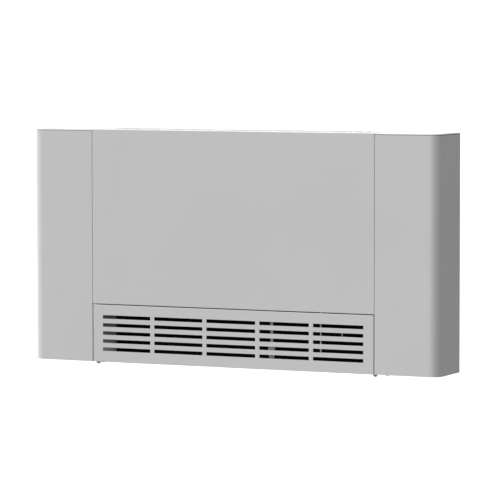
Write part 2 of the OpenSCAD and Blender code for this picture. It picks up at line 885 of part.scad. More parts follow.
module rear_scroll() {
    arc_r = rotor_r + scroll_gap - scroll_ease;
    arc_y = duct_y - arc_r;
    arc_z = fan_z + scroll_rise;
    reach = 2 * arc_r;
    lip_a = -75;
    color("silver") along_x(-frame_x0, frame_x0) {
        intersection() {
            translate([arc_y, arc_z]) difference() {
                circle(arc_r + scroll_t);
                circle(arc_r);
            }
            translate([arc_y, arc_z])
                polygon([[0, 0], [reach * cos(lip_a), reach * sin(lip_a)], [reach, -reach], [reach, 0]]);
        }
        rect(duct_y, foam_y, arc_z, coil_pt_z(fin_d / 2, coil_h));
    }
}

// Tongue in front of the rotor, which carries the drain pan
module fan_tongue() {
    y0 = rail_y1 + pass;
    color("dimgray") along_x(-frame_x0, frame_x0) difference() {
        polygon([
            [y0, fan_z + 16], [y0, pan_z], [pan_y1, pan_z], [fan_y - 4, fan_z + rotor_r + tongue_gap + 2],
            [fan_y - rotor_r + 2, fan_z + 14]
        ]);
        translate([fan_y, fan_z]) circle(rotor_r + tongue_gap);
    }
}

// Filter

module filter_frame() {
    window_l = (2 * filter_x - filter_bar_w) / filter_windows - filter_bar_w;
    color("dimgray") along_z(filter_z, filter_z + filter_t) difference() {
        rect(-filter_x, filter_x, filter_y0, filter_y1);
        for (i = [0 : filter_windows - 1]) {
            x = -filter_x + filter_bar_w + i * (window_l + filter_bar_w);
            rect(x, x + window_l, filter_y0 + filter_bar_w, filter_y1 - filter_bar_w);
        }
    }
}

module filter_mesh() {
    window_l = (2 * filter_x - filter_bar_w) / filter_windows - filter_bar_w;
    mesh_t = 1;
    z = filter_z + (filter_t - mesh_t) / 2;
    color("black") along_z(z, z + mesh_t) for (i = [0 : filter_windows - 1]) {
        x = -filter_x + filter_bar_w + i * (window_l + filter_bar_w);
        rect(x, x + window_l, filter_y0 + filter_bar_w, filter_y1 - filter_bar_w);
    }
}

module filter_rails() {
    color("silver") both_sides() {
        span([frame_x0 - 20, frame_x0], [filter_y0, filter_y1], [filter_rail_z, filter_z]);
        span([frame_x0 - frame_t, frame_x0], [filter_y0, filter_y1], [filter_rail_z, filter_z + filter_t + 4]);
    }
}

module filter_pull_tab() {
    tab_t = 0.8;
    color("gainsboro") span([tab_x - tab_w / 2, tab_x + tab_w / 2], [filter_y0 - tab_t, filter_y0],
        [slot_z0 + 10, filter_z + filter_t - 1]);
}

// Air probe on a strip that hangs from the cross rail behind the grille
probe_z0 = slot_z0 - 6;
probe_h = 34;
probe_w = 19;
strip_w = 11;
strip_z0 = probe_z0 + 4;

module probe_strip() {
    color("gainsboro") span([probe_x - strip_w / 2, probe_x + strip_w / 2], [rail_y1, rail_y1 + frame_t],
        [strip_z0, grille_h + rail_h - frame_t]);
}

module air_probe() {
    probe_d = 7;
    r = 3;
    color("gainsboro") difference() {
        along_y(rail_y1 + frame_t - probe_d, rail_y1 + frame_t) {
            rect_round_low(probe_x - probe_w / 2, probe_x + probe_w / 2, probe_z0, probe_z0 + probe_h, r);
        }
        span([probe_x - strip_w / 2, probe_x + strip_w / 2], [rail_y1, rail_y1 + frame_t + cut],
            [strip_z0, probe_z0 + probe_h + cut]);
    }
}

// Water side

module coil_fins() {
    pitch = (coil_x1 - coil_x0 - fin_t) / (fin_n - 1);
    color("silver") in_coil() for (i = [0 : fin_n - 1])
        along_x(coil_x0 + i * pitch, coil_x0 + i * pitch + fin_t) difference() {
            rect(-fin_d / 2, fin_d / 2, 0, coil_h);
            for (v = [-row_v, row_v], n = [0 : tube_n - 1])
                translate([v, (n + 0.5) * tube_pitch]) circle(tube_r + seat);
        }
}

// End plates with a front flange that reaches the frame plates
module coil_end_plates() {
    flange_v = [-fin_d / 2 - end_plate_t, -fin_d / 2];
    color("silver") in_coil() for (plate = [[coil_x0 - end_plate_t, coil_x0, -frame_x0 + seat, coil_x0],
                                            [coil_x1, coil_x1 + end_plate_t, coil_x1, frame_x0 - seat]]) {
        along_x(plate[0], plate[1]) difference() {
            rect(flange_v[0], fin_d / 2, 0, coil_h);
            for (v = [-row_v, row_v], n = [0 : tube_n - 1])
                translate([v, (n + 0.5) * tube_pitch]) circle(tube_r + seat);
        }
        span([plate[2], plate[3]], flange_v, [8, coil_h]);
    }
}

// Hairpins: two straight tubes and a return bend at the right end
module hairpin(r) {
    bend_x = coil_x1 + 8;
    for (v = [-row_v, row_v]) rod_x(header_x + pipe_r - header_socket, bend_x, v, 0, r);
    translate([bend_x, 0, 0]) rotate([0, 0, -90]) rotate_extrude(angle = 180) translate([row_v, 0]) circle(r);
}

module coil_tubes() {
    color("peru") in_coil() for (n = [0 : tube_n - 1]) translate([0, 0, (n + 0.5) * tube_pitch]) difference() {
        hairpin(tube_r);
        hairpin(tube_r - tube_wall);
    }
}

// Inside or outside of a header, with the pipe that leaves it and turns down to its connection
module header_pipe(v, u, x, r, past) {
    y = coil_pt_y(v, u);
    z = coil_pt_z(v, u);
    in_coil() rod_z(header_x, v, tube_pitch / 2 - r - pipe_wall, coil_h - tube_pitch / 2 + r + pipe_wall, r);
    rod_x(x, header_x, y, z, r);
    translate([x, y, z]) sphere(r);
    rod_z(x, y, pipe_end_z - past, z, r);
}

// A header along one row of tubes, with a socket for each tube
module header(v, u, x) {
    difference() {
        header_pipe(v, u, x, pipe_r, 0);
        header_pipe(v, u, x, pipe_r - pipe_wall, cut);
        in_coil() for (n = [0 : tube_n - 1])
            rod_x(header_x + pipe_r - header_socket, header_x + 2 * pipe_r, v, (n + 0.5) * tube_pitch, tube_r);
    }
}

module supply_header() {
    color("peru") header(row_v, supply_u, supply_x);
}

module return_header() {
    z = coil_pt_z(-row_v, return_u);
    color("peru") {
        header(-row_v, return_u, return_x);
        rod_z(return_x, coil_pt_y(-row_v, return_u), z + pipe_r - pipe_wall, vent_z, vent_stub_r);
    }
}

// Brass union: a hexagon and a male spigot that points down
module pipe_fitting(x, y) {
    nut_r = spigot_r + nut_wall;
    z0 = pipe_end_z + nut_socket - nut_h;
    color("goldenrod") difference() {
        union() {
            translate([x, y, z0]) cylinder(h = nut_h, r = nut_r, $fn = 6);
            rod_z(x, y, z0 - spigot_l, z0 + cut, spigot_r);
        }
        rod_z(x, y, pipe_end_z, pipe_end_z + nut_h, pipe_r);
        rod_z(x, y, z0 - spigot_l - cut, pipe_end_z + cut, pipe_r - pipe_wall);
    }
}

module supply_fitting() {
    pipe_fitting(supply_x, coil_pt_y(row_v, supply_u));
}

module return_fitting() {
    pipe_fitting(return_x, coil_pt_y(-row_v, return_u));
}

// Air vent on the highest point of the return pipe
vent_stub_r = 5;
vent_z = coil_pt_z(-row_v, return_u) + 14;
vent_h = 14;
vent_stem_r = 2.5;
bleed_h = 8;

module air_vent() {
    y = coil_pt_y(-row_v, return_u);
    color("goldenrod") difference() {
        translate([return_x, y, vent_z]) cylinder(h = vent_h, r = vent_stub_r + 3, $fn = 6);
        rod_z(return_x, y, vent_z + 4, vent_z + vent_h + cut, vent_stem_r + run_clear);
    }
}

module bleed_knob() {
    y = coil_pt_y(-row_v, return_u);
    z = vent_z + vent_h + pass;
    color("whitesmoke") {
        difference() {
            rod_z(return_x, y, z, z + bleed_h, vent_stub_r + 2);
            span([return_x - 1, return_x + 1], [y - 10, y + 10], [z + bleed_h - 2, z + bleed_h + cut]);
        }
        rod_z(return_x, y, vent_z + 6, z + cut, vent_stem_r);
    }
}

// Drain pan with a spigot that turns down in the left cheek
drain_y = (pan_y0 + pan_y1) / 2;
drain_z = pan_z + pan_t + drain_r;
drain_fall = 30;
drain_end_z = pan_z - drain_fall;

module drain_pan() {
    bore_r = drain_r - 2;
    color("gainsboro") difference() {
        union() {
            span([-pan_x, pan_x], [pan_y0, pan_y1], [pan_z, pan_z + pan_h]);
            rod_x(drain_x, -pan_x + cut, drain_y, drain_z, drain_r);
            translate([drain_x, drain_y, drain_z]) sphere(drain_r);
            rod_z(drain_x, drain_y, pan_z - 2, drain_z, drain_r);
            rod_z(drain_x, drain_y, drain_end_z, pan_z, drain_r - 0.5);
        }
        span([pan_t - pan_x, pan_x - pan_t], [pan_y0 + pan_t, pan_y1 - pan_t],
            [pan_z + pan_t, pan_z + pan_h + cut]);
        rod_x(drain_x, pan_t - pan_x + cut, drain_y, drain_z, bore_r);
        translate([drain_x, drain_y, drain_z]) sphere(bore_r);
        rod_z(drain_x, drain_y, drain_end_z - cut, drain_z, bore_r);
    }
}

// Motor and controls

module fan_motor() {
    rear_boss_r = motor_boss_r - 6;
    color("silver") difference() {
        union() {
            rod_x(frame_x1, motor_x0, fan_y, fan_z, motor_boss_r);
            translate([motor_x0, fan_y, fan_z]) rotate([0, 90, 0]) rotate_extrude() motor_half();
            rod_x(motor_x0 + motor_l - cut, motor_x0 + motor_l + 5, fan_y, fan_z, rear_boss_r);
        }
        rod_x(frame_x1 - cut, motor_x0 + motor_l / 2 + cut, fan_y, fan_z, shaft_r + run_clear);
    }
}

// Half section of the motor housing, with rounded ends and a seam rib
module motor_half() {
    r = 8;
    rect(0, motor_r - r, 0, motor_l);
    rect(0, motor_r, r, motor_l - r);
    translate([motor_r - r, r]) circle(r);
    translate([motor_r - r, motor_l - r]) circle(r);
    rect(0, motor_r + 1.5, motor_l / 2 - 1.5, motor_l / 2 + 1.5);
}

module motor_rubber() {
    color("black") difference() {
        rod_x(frame_x1, motor_x0 - 1, fan_y, fan_z, motor_ring_r);
        rod_x(frame_x1 - cut, motor_x0, fan_y, fan_z, motor_boss_r);
    }
}

module motor_bracket() {
    t = 4;
    w = motor_ring_r + bracket_border;
    color("dimgray") along_x(frame_x1, frame_x1 + t) translate([fan_y, fan_z]) difference() {
        rect_round(-w, w, -w, w, bracket_border / 2);
        circle(motor_ring_r);
    }
}

// Lead from the motor up to the control box, swept along a slack curve
lead_r = 3;
lead_x = motor_x0 + motor_l / 2 + 8;
lead_steps = 12;
lead_sides = 8;
function lead_point(t) =
    let (z0 = fan_z + motor_r, z1 = box_z0)
    [lead_x + 9 * sin(180 * t) * sin(180 * t), fan_y + 10 * sin(180 * t) * sin(180 * t), z0 + (z1 - z0) * t];
lead_rings = [for (i = [0 : lead_steps], a = [0 : lead_sides - 1])
    lead_point(i / lead_steps) + lead_r * [cos(360 * a / lead_sides), sin(360 * a / lead_sides), 0]];
lead_faces = concat(
    [[for (a = [0 : lead_sides - 1]) a]],
    [[for (a = [lead_sides - 1 : -1 : 0]) lead_steps * lead_sides + a]],
    [for (i = [0 : lead_steps - 1], a = [0 : lead_sides - 1])
        let (b = (a + 1) % lead_sides, low = i * lead_sides, high = low + lead_sides)
        [low + a, high + a, high + b, low + b]]
);

module motor_lead() {
    color("black") polyhedron(lead_rings, lead_faces);
}

module control_box() {
    post_r = 3;
    post_in = 2 * board_edge;
    color("whitesmoke") {
        difference() {
            span([frame_x1, box_x1], [box_y0, box_y1], [box_z0, box_z1]);
            span([frame_x1 + box_t, box_x1 + cut], [box_y0 + box_t, box_y1 - box_t],
                [box_z0 + box_t, box_z1 - box_t]);
            rod_y(gland_x, box_y1 - box_t - cut, box_y1 + cut, gland_z, cable_r + gland_wall);
        }
        for (y = [box_y0 + post_in, box_y1 - post_in], z = [box_z0 + post_in, box_z1 - post_in])
            rod_x(frame_x1 + box_t / 2, frame_x1 + box_t + board_lift, y, z, post_r);
    }
}

// Ribs across the upper half of the cover
rib_h = 1;
rib_w = 3;
rib_pitch = 8;

module control_box_cover() {
    ribs = floor((box_z1 - box_z0) / 2 / rib_pitch) - 4;
    color("whitesmoke") {
        span([box_x1, box_x1 + box_t], [box_y0, box_y1], [box_z0, box_z1]);
        for (i = [0 : ribs - 1]) translate([0, 0, box_z1 - (i + 3) * rib_pitch])
            span([box_x1 + box_t / 2, box_x1 + box_t + rib_h], [box_y0 + rib_pitch, box_y1 - rib_pitch],
                [0, rib_w]);
    }
}

// Board with a transformer and a row of capacitors
transformer_w = 22;
transformer_l = 30;
part_h = 17;
capacitor_r = 7;

module circuit_board() {
    x = frame_x1 + box_t + board_lift;
    part_y = box_y0 + 2 * board_edge;
    color("seagreen") {
        span([x, x + board_t], [box_y0 + board_edge, box_y1 - board_edge],
            [box_z0 + board_edge, box_z1 - board_edge]);
        span([x + board_t, x + board_t + part_h], [part_y, part_y + transformer_w],
            [box_z1 - 2 * transformer_l, box_z1 - transformer_l]);
        for (i = [0 : 2]) rod_x(x + board_t, x + board_t + part_h, part_y + capacitor_r,
            box_z0 + transformer_l + 2.5 * i * capacitor_r, capacitor_r);
    }
}

// Terminals, as many as fit between the gland and the top of the box
pole_w = 9;
pole_d = 16;
pole_h = 14;
pole_r = 2.5;

module terminal_block() {
    x = frame_x1 + box_t + board_lift + board_t;
    y1 = box_y1 - 2 * board_edge;
    z0 = gland_z + 2 * pole_w;
    poles = floor((box_z1 - z0 - pole_w) / pole_w) - 1;
    color("lightgray") difference() {
        span([x, x + pole_h], [y1 - pole_d, y1], [z0, z0 + poles * pole_w]);
        for (i = [0 : poles - 1])
            rod_x(x + pole_h / 2, x + pole_h + cut, y1 - pole_d / 2, z0 + (i + 0.5) * pole_w, pole_r);
    }
}

module cable_gland() {
    thread_r = cable_r + gland_wall;
    nut_r = thread_r + 3.5;
    inner_y = box_y1 - box_t - nut_l / 2;
    color("dimgray") difference() {
        union() {
            rod_y(gland_x, inner_y, box_y1 + cut, gland_z, thread_r);
            translate([gland_x, box_y1 + nut_l, gland_z]) rotate([90, 0, 0])
                cylinder(h = nut_l, r = nut_r, $fn = 6);
            rod_y(gland_x, box_y1 + nut_l - cut, box_y1 + gland_l, gland_z, thread_r + gland_wall / 2);
        }
        rod_y(gland_x, inner_y - cut, box_y1 + gland_l + cut, gland_z, cable_r);
    }
}

module control_plate() {
    x1 = half_w - plate_side;
    color("dimgray") difference() {
        union() {
            span([frame_x1, x1], [plate_y0, plate_y1], [plate_z, plate_z + plate_t]);
            span([frame_x1, frame_x1 + plate_t], [plate_y0, plate_y1],
                [plate_z - plate_fold_h, plate_z + plate_t]);
        }
        for (x = [thermostat_x, speed_x]) rod_z(x, knob_y, plate_z - cut, plate_z + plate_t + cut, stem_r + 1);
    }
}

module control_switches() {
    w = switch_w / 2;
    color("black") for (x = [thermostat_x, speed_x]) difference() {
        span([x - w, x + w], [knob_y - w, knob_y + w], [plate_z - switch_h, plate_z]);
        rod_z(x, knob_y, plate_z - stem_l, plate_z + cut, stem_r + run_clear);
    }
}

// A fluted knob with a pointer ridge, on a stem
module knob(x) {
    flutes = 20;
    flute_r = 1.5;
    z0 = plate_z + plate_t + pass;
    z1 = z0 + knob_h;
    difference() {
        union() {
            rod_z(x, knob_y, z0, z1 - 2, knob_r);
            rod_z(x, knob_y, z0, z1, knob_r - 2);
            span([x - 1.5, x + 1.5], [knob_y - knob_r + 0.5, knob_y], [z0 + 1, z1 + 1]);
        }
        for (i = [0 : flutes - 1]) rotate_about(x, knob_y, i * 360 / flutes + 180 / flutes)
            rod_z(knob_r + flute_r / 2, 0, z0 + 3, z1 + cut, flute_r);
    }
    rod_z(x, knob_y, plate_z - stem_l + 2, z0 + cut, stem_r);
}

module rotate_about(x, y, a) {
    translate([x, y, 0]) rotate(a) children();
}

module thermostat_knob() {
    color("whitesmoke") knob(thermostat_x);
}

module speed_knob() {
    color("whitesmoke") knob(speed_x);
}

front_panel();
left_cheek();
right_cheek();
left_lid();
right_lid();
intake_grille();
outlet_grille();
lid_hinge_brackets();
lid_hinge_pins();
grille_hinge_brackets();
grille_hinge_pins();
grille_magnets();
cheek_screws();
rear_panel();
left_frame_plate();
right_frame_plate();
cross_rail();
rear_insulation();
front_insulation();
frame_screws();
cross_flow_fan();
fan_stub_shaft();
motor_shaft();
fan_bearing();
bearing_rubber();
bearing_plate();
rear_scroll();
fan_tongue();
filter_frame();
filter_mesh();
filter_rails();
filter_pull_tab();
probe_strip();
air_probe();
coil_fins();
coil_end_plates();
coil_tubes();
supply_header();
return_header();
supply_fitting();
return_fitting();
air_vent();
bleed_knob();
drain_pan();
fan_motor();
motor_rubber();
motor_bracket();
motor_lead();
control_box();
control_box_cover();
circuit_board();
terminal_block();
cable_gland();
control_plate();
control_switches();
thermostat_knob();
speed_knob();
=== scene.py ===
import json
import math
import bmesh
import bpy
from mathutils import Matrix, Vector


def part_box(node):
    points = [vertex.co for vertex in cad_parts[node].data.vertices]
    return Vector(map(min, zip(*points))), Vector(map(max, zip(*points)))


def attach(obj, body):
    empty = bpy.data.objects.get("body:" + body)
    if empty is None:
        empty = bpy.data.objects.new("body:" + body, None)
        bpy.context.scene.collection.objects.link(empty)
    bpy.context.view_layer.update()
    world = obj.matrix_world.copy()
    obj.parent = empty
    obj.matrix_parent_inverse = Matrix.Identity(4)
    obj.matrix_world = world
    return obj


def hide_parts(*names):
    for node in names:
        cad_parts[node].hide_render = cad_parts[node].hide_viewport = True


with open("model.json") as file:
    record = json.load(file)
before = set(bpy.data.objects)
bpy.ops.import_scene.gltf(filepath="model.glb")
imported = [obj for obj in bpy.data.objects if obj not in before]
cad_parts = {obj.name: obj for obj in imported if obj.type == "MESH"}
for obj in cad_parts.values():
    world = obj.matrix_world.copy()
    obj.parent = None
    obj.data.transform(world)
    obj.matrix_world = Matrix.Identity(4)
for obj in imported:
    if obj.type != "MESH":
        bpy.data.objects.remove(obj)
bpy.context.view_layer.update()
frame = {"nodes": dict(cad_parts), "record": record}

nodes = frame["nodes"]
scene = bpy.context.scene
mm = 0.001
faceLimit = 0.9    # a face looks along an axis when its normal has at least this share of it
print("stage 1: the packed model is loaded,", len(nodes), "nodes")


# tools shared by all the pieces

def hexColour(text):
    # sRGB hex to the linear colour that the shader sockets take
    parts = [int(text[i:i + 2], 16) / 255 for i in (1, 3, 5)]
    linear = [p / 12.92 if p <= 0.04045 else ((p + 0.055) / 1.055) ** 2.4 for p in parts]
    return (linear[0], linear[1], linear[2], 1.0)


def perMm(sizeMm):
    # texture scale for a pattern of this size
    return 1 / (sizeMm * mm)


def addNode(tree, kind, inputs=None, stops=None, **settings):
    # adds one node, sets it up and links it; stops are the places and colours of a ramp
    node = tree.nodes.new(kind)
    for name, value in settings.items():
        setattr(node, name, value)
    for name, value in (inputs or {}).items():
        if isinstance(value, bpy.types.NodeSocket):
            tree.links.new(value, node.inputs[name])
        else:
            node.inputs[name].default_value = value
    for element, (place, colour) in zip(node.color_ramp.elements if stops else [], stops or []):
        element.position = place
        element.color = hexColour(colour)
    return node


def newMaterial(name, roughness, metallic=0.0):
    material = bpy.data.materials.new(name)
    material.use_nodes = True
    tree = material.node_tree
    shader = tree.nodes["Principled BSDF"]
    shader.inputs["Roughness"].default_value = roughness
    shader.inputs["Metallic"].default_value = metallic
    place = addNode(tree, "ShaderNodeTexCoord").outputs["Object"]
    return material, tree, shader, place


def deselectAll():
    if bpy.context.mode != "OBJECT":
        bpy.ops.object.mode_set(mode="OBJECT")
    bpy.ops.object.select_all(action="DESELECT")


def useOnly(piece):
    deselectAll()
    piece.select_set(True)
    bpy.context.view_layer.objects.active = piece


def applyPlace(piece):
    useOnly(piece)
    bpy.ops.object.transform_apply(location=True, rotation=True, scale=True)


def applyModifier(piece, kind, **settings):
    useOnly(piece)
    modifier = piece.modifiers.new(kind.title(), kind)
    for name, value in settings.items():
        setattr(modifier, name, value)
    bpy.ops.object.modifier_apply(modifier=modifier.name)


def cutAway(piece, cutter):
    # takes the cutter's shape out of the piece; the cutter goes
    applyModifier(piece, "BOOLEAN", object=cutter, operation="DIFFERENCE", solver="EXACT")
    bpy.data.objects.remove(cutter)


def pickFaces(piece, test):
    # in edit mode, selects only the faces whose middle and normal pass the test
    bpy.ops.mesh.select_mode(type="FACE")
    bpy.ops.mesh.select_all(action="DESELECT")
    mesh = bmesh.from_edit_mesh(piece.data)
    for face in mesh.faces:
        face.select_set(test(face.calc_center_median(), face.normal))
    mesh.select_flush_mode()
    bmesh.update_edit_mesh(piece.data)


def extrudeBy(x, y, z):
    # draws the selection out by a step in metres
    bpy.ops.mesh.extrude_region_move(TRANSFORM_OT_translate={"value": (x, y, z)})


def bisectAt(zMm):
    # cuts a ring of edges into the whole piece at one height
    bpy.ops.mesh.select_all(action="SELECT")
    bpy.ops.mesh.bisect(plane_co=(0, 0, zMm * mm), plane_no=(0, 0, 1))


def boxPiece(name, low, high):
    # a cube between two corners in millimetres, ready to be shaped
    deselectAll()
    bpy.ops.mesh.primitive_cube_add(size=1, location=(low + high) / 2 * mm)
    piece = bpy.context.object
    piece.name = name
    piece.scale = (high - low) * mm
    applyPlace(piece)
    return piece


def turnedRing(rings, sides):
    # a circle is drawn up along +Z ring by ring, each at its own radius, and bridged shut on the inside
    radius, height = rings[0]
    deselectAll()
    bpy.ops.mesh.primitive_circle_add(vertices=sides, radius=radius * mm, location=(0, 0, height * mm))
    piece = bpy.context.object
    applyPlace(piece)
    bpy.ops.object.mode_set(mode="EDIT")
    bpy.ops.mesh.select_mode(type="EDGE")
    bpy.ops.mesh.select_all(action="SELECT")
    for nextRadius, nextHeight in rings[1:]:
        extrudeBy(0, 0, (nextHeight - height) * mm)
        scale = nextRadius / radius
        bpy.ops.transform.resize(value=(scale, scale, 1), center_override=(0, 0, nextHeight * mm))
        radius, height = nextRadius, nextHeight
    bpy.ops.mesh.select_all(action="DESELECT")
    bpy.ops.mesh.select_non_manifold()
    bpy.ops.mesh.bridge_edge_loops()
    bpy.ops.mesh.select_all(action="SELECT")
    bpy.ops.mesh.normals_make_consistent(inside=False)
    bpy.ops.object.mode_set(mode="OBJECT")
    return piece


def copiesOf(master, places, name):
    # one mesh of its own for each place, joined to one piece; the master goes
    made = []
    for place in places:
        copy = master.copy()
        copy.data = master.data.copy()
        scene.collection.objects.link(copy)
        copy.matrix_world = place
        made.append(copy)
    deselectAll()
    for copy in made:
        copy.select_set(True)
    bpy.context.view_layer.objects.active = made[0]
    bpy.ops.object.transform_apply(location=True, rotation=True, scale=True)
    bpy.ops.object.join()
    piece = bpy.context.view_layer.objects.active
    piece.name = name
    piece.data.name = name
    bpy.data.objects.remove(master)
    return piece


def finishPiece(piece, body, material, smoothDeg):
    # edges flatter than the angle are shaded smooth
    useOnly(piece)
    bpy.ops.object.shade_smooth_by_angle(angle=math.radians(smoothDeg))
    piece.data.materials.clear()
    piece.data.materials.append(material)
    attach(piece, body)
    return piece


def facing(axis):
    # turns +Z of a master to the given axis
    return Vector((0, 0, 1)).rotation_difference(Vector(axis)).to_matrix().to_4x4()


def placed(xMm, yMm, zMm, axis=(0, 0, 1)):
    return Matrix.Translation(Vector((xMm, yMm, zMm)) * mm) @ facing(axis)


def boxMm(name):
    # lowest and highest corner of a node, in millimetres
    low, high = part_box(name)
    return Vector(low) / mm, Vector(high) / mm


# camera at the photograph's viewing angle
cameraSet = {
    "yawDeg": 25.214,        # to the right of the front
    "pitchDeg": 3.913,       # looking down
    "rollDeg": -0.067,
    "distanceMm": 8193.5,
    "shiftRightMm": -9.447,
    "shiftUpMm": -8.329,
    "focalPixels": 3301.7,
    "widthPixels": 500,      # the picture that the focal length is given for
    "sensorMm": 36,
    "clipEndM": 100,
    "targetMm": (0, 0, 289.5),
}


def makeCamera():
    s = cameraSet
    yaw = math.radians(s["yawDeg"])
    pitch = math.radians(s["pitchDeg"])
    roll = math.radians(s["rollDeg"])
    level = math.cos(pitch)
    forward = Vector((-math.sin(yaw) * level, math.cos(yaw) * level, -math.sin(pitch)))
    right = Vector((math.cos(yaw), math.sin(yaw), 0))
    up = right.cross(forward)
    rolledRight = math.cos(roll) * right + math.sin(roll) * up
    rolledUp = math.cos(roll) * up - math.sin(roll) * right
    centre = Vector(s["targetMm"]) - forward * s["distanceMm"]
    centre += rolledRight * s["shiftRightMm"] + rolledUp * s["shiftUpMm"]
    data = bpy.data.cameras.new("photoCamera")
    data.sensor_width = s["sensorMm"]
    data.lens = s["sensorMm"] * s["focalPixels"] / s["widthPixels"]
    data.clip_end = s["clipEndM"]
    camera = bpy.data.objects.new("photoCamera", data)
    scene.collection.objects.link(camera)
    turn = Matrix((rolledRight, rolledUp, -forward)).transposed().to_4x4()
    camera.matrix_world = Matrix.Translation(centre * mm) @ turn
    scene.camera = camera


makeCamera()
print("stage 2: camera")


# light, floor and background
studio = {
    "worldStrength": 0.34,      # even light from all round
    "keyStrength": 3.4,         # soft key from above and the left
    "keyFrom": (-0.396, -0.239, 1.0),
    "keyAngleDeg": 24,
    "fillStrength": 1.14,       # broad light from the room, which eases the shade round the corners
    "fillFrom": (-0.47, -1, 0.2),
    "fillAngleDeg": 60,
    "sideStrength": 0.78,       # lifts the left corner
    "sideFrom": (-1, 0, 0.12),
    "sideAngleDeg": 40,
    "backStrength": 0.8,        # keeps the wall side readable
    "backFrom": (-0.2, 0.9, 0.15),
    "backAngleDeg": 30,
    "backdrop": "#FFFFFF",
    "backdropStrength": 1.0,    # plain white to the camera and in reflections
    "floorDropMm": 460,         # the cabinet hangs clear of the floor
    "floorSizeM": 60,
    "floorSeen": "#F2F2F2",     # what the camera and reflections see
    "floorBounce": "#878787",   # what lights the object from below
}


def addSun(name, strength, comesFrom, angleDeg):
    data = bpy.data.lights.new(name, "SUN")
    data.energy = strength
    data.angle = math.radians(angleDeg)
    lamp = bpy.data.objects.new(name, data)
    scene.collection.objects.link(lamp)
    lamp.rotation_euler = Vector(comesFrom).to_track_quat("Z", "Y").to_euler()


def seenRay(tree):
    # 1 for rays of the camera and for those that reflections and glass send on
    path = addNode(tree, "ShaderNodeLightPath").outputs
    seen = path["Is Camera Ray"]
    for name in ("Is Glossy Ray", "Is Transmission Ray"):
        either = addNode(tree, "ShaderNodeMath", {0: seen, 1: path[name]}, operation="MAXIMUM")
        seen = either.outputs[0]
    return seen


def makeStudio():
    s = studio
    for name in ("key", "fill", "side", "back"):
        addSun(name + "Light", s[name + "Strength"], s[name + "From"], s[name + "AngleDeg"])

    world = bpy.data.worlds.new("whiteRoom")
    scene.world = world
    world.use_nodes = True
    tree = world.node_tree
    tree.nodes.clear()
    white = hexColour(s["backdrop"])
    shown = addNode(tree, "ShaderNodeBackground", {"Color": white, "Strength": s["backdropStrength"]})
    light = addNode(tree, "ShaderNodeBackground", {"Color": white, "Strength": s["worldStrength"]})
    mix = addNode(tree, "ShaderNodeMixShader", {0: seenRay(tree), 1: light.outputs[0], 2: shown.outputs[0]})
    addNode(tree, "ShaderNodeOutputWorld", {"Surface": mix.outputs[0]})

    deselectAll()
    bpy.ops.mesh.primitive_plane_add(size=s["floorSizeM"], location=(0, 0, -s["floorDropMm"] * mm))
    floor = bpy.context.object
    floor.name = "paleFloor"
    material = bpy.data.materials.new("mattFloorPaint")
    material.use_nodes = True
    tree = material.node_tree
    tree.nodes.clear()
    bounce = addNode(tree, "ShaderNodeBsdfDiffuse", {"Color": hexColour(s["floorBounce"])})
    pale = addNode(tree, "ShaderNodeBsdfDiffuse", {"Color": hexColour(s["floorSeen"])})
    mix = addNode(tree, "ShaderNodeMixShader", {0: seenRay(tree), 1: bounce.outputs[0], 2: pale.outputs[0]})
    addNode(tree, "ShaderNodeOutputMaterial", {"Surface": mix.outputs[0]})
    floor.data.materials.append(material)

    scene.view_settings.view_transform = "Standard"


makeStudio()
print("stage 3: light, floor and background")


def cloudedMaterial(name, light, dark, roughness, metallic, s):
    # a skin whose colour drifts softly between two tones, with a fine grain in relief
    material, tree, shader, place = newMaterial(name, roughness, metallic)
    cloud = addNode(tree, "ShaderNodeTexNoise",
                    {"Vector": place, "Scale": perMm(s["cloudMm"]), "Detail": s["cloudDetail"]})
    colour = addNode(tree, "ShaderNodeValToRGB", {"Fac": cloud.outputs["Fac"]},
                     stops=[(s["darkAt"], dark), (s["lightAt"], light)])
    tree.links.new(colour.outputs["Color"], shader.inputs["Base Color"])
    grain = addNode(tree, "ShaderNodeTexNoise",
                    {"Vector": place, "Scale": perMm(s["grainMm"]), "Detail": s["grainDetail"]})
    bump = addNode(tree, "ShaderNodeBump",
                   {"Height": grain.outputs["Fac"], "Strength": s["bump"], "Distance": s["bumpMm"] * mm})
    tree.links.new(bump.outputs["Normal"], shader.inputs["Normal"])
    return material


# polyester powder coat, satin: an even pale skin with a faint orange peel
powderCoat = {"light": "#CFCFCF", "dark": "#CDCDCD", "roughness": 0.6, "specular": 0.06,
              "cloudMm": 260, "cloudDetail": 2.0, "darkAt": 0.35, "lightAt": 0.65,
              "grainMm": 2.2, "grainDetail": 1.5, "bump": 0.035, "bumpMm": 0.4}


def makePowderCoat():
    s = powderCoat
    material = cloudedMaterial("satinPowderCoat", s["light"], s["dark"], s["roughness"], 0.0, s)
    shader = material.node_tree.nodes["Principled BSDF"]
    shader.inputs["Specular IOR Level"].default_value = s["specular"]
    return material


# drawn and turned metals: fine marks of the tool, a little tarnish
turnedMetal = {"cloudDetail": 4.0, "darkAt": 0.3, "lightAt": 0.7,
               "grainMm": 0.9, "grainDetail": 2.0, "bump": 0.05, "bumpMm": 0.3}


def makeTurnedMetal(name, light, dark, roughness, cloudMm):
    return cloudedMaterial(name, light, dark, roughness, 1.0, {**turnedMetal, "cloudMm": cloudMm})


# moulded plastics and stoved paint: spark-eroded grain and a soft gloss
mouldedSkin = {"cloudMm": 60, "cloudDetail": 3.0, "darkAt": 0.35, "lightAt": 0.65,
               "grainDetail": 2.0, "bump": 0.12, "bumpMm": 0.3}


def makeMoulded(name, light, dark, roughness, grainMm):
    return cloudedMaterial(name, light, dark, roughness, 0.0, {**mouldedSkin, "grainMm": grainMm})


# hot-dip galvanised sheet: dull grey zinc with a crystal spangle
galvanised = {"light": "#C2C3C4", "dark": "#B4B5B7", "metallic": 0.6, "roughMin": 0.42, "roughMax": 0.6,
              "spangleMm": 11}


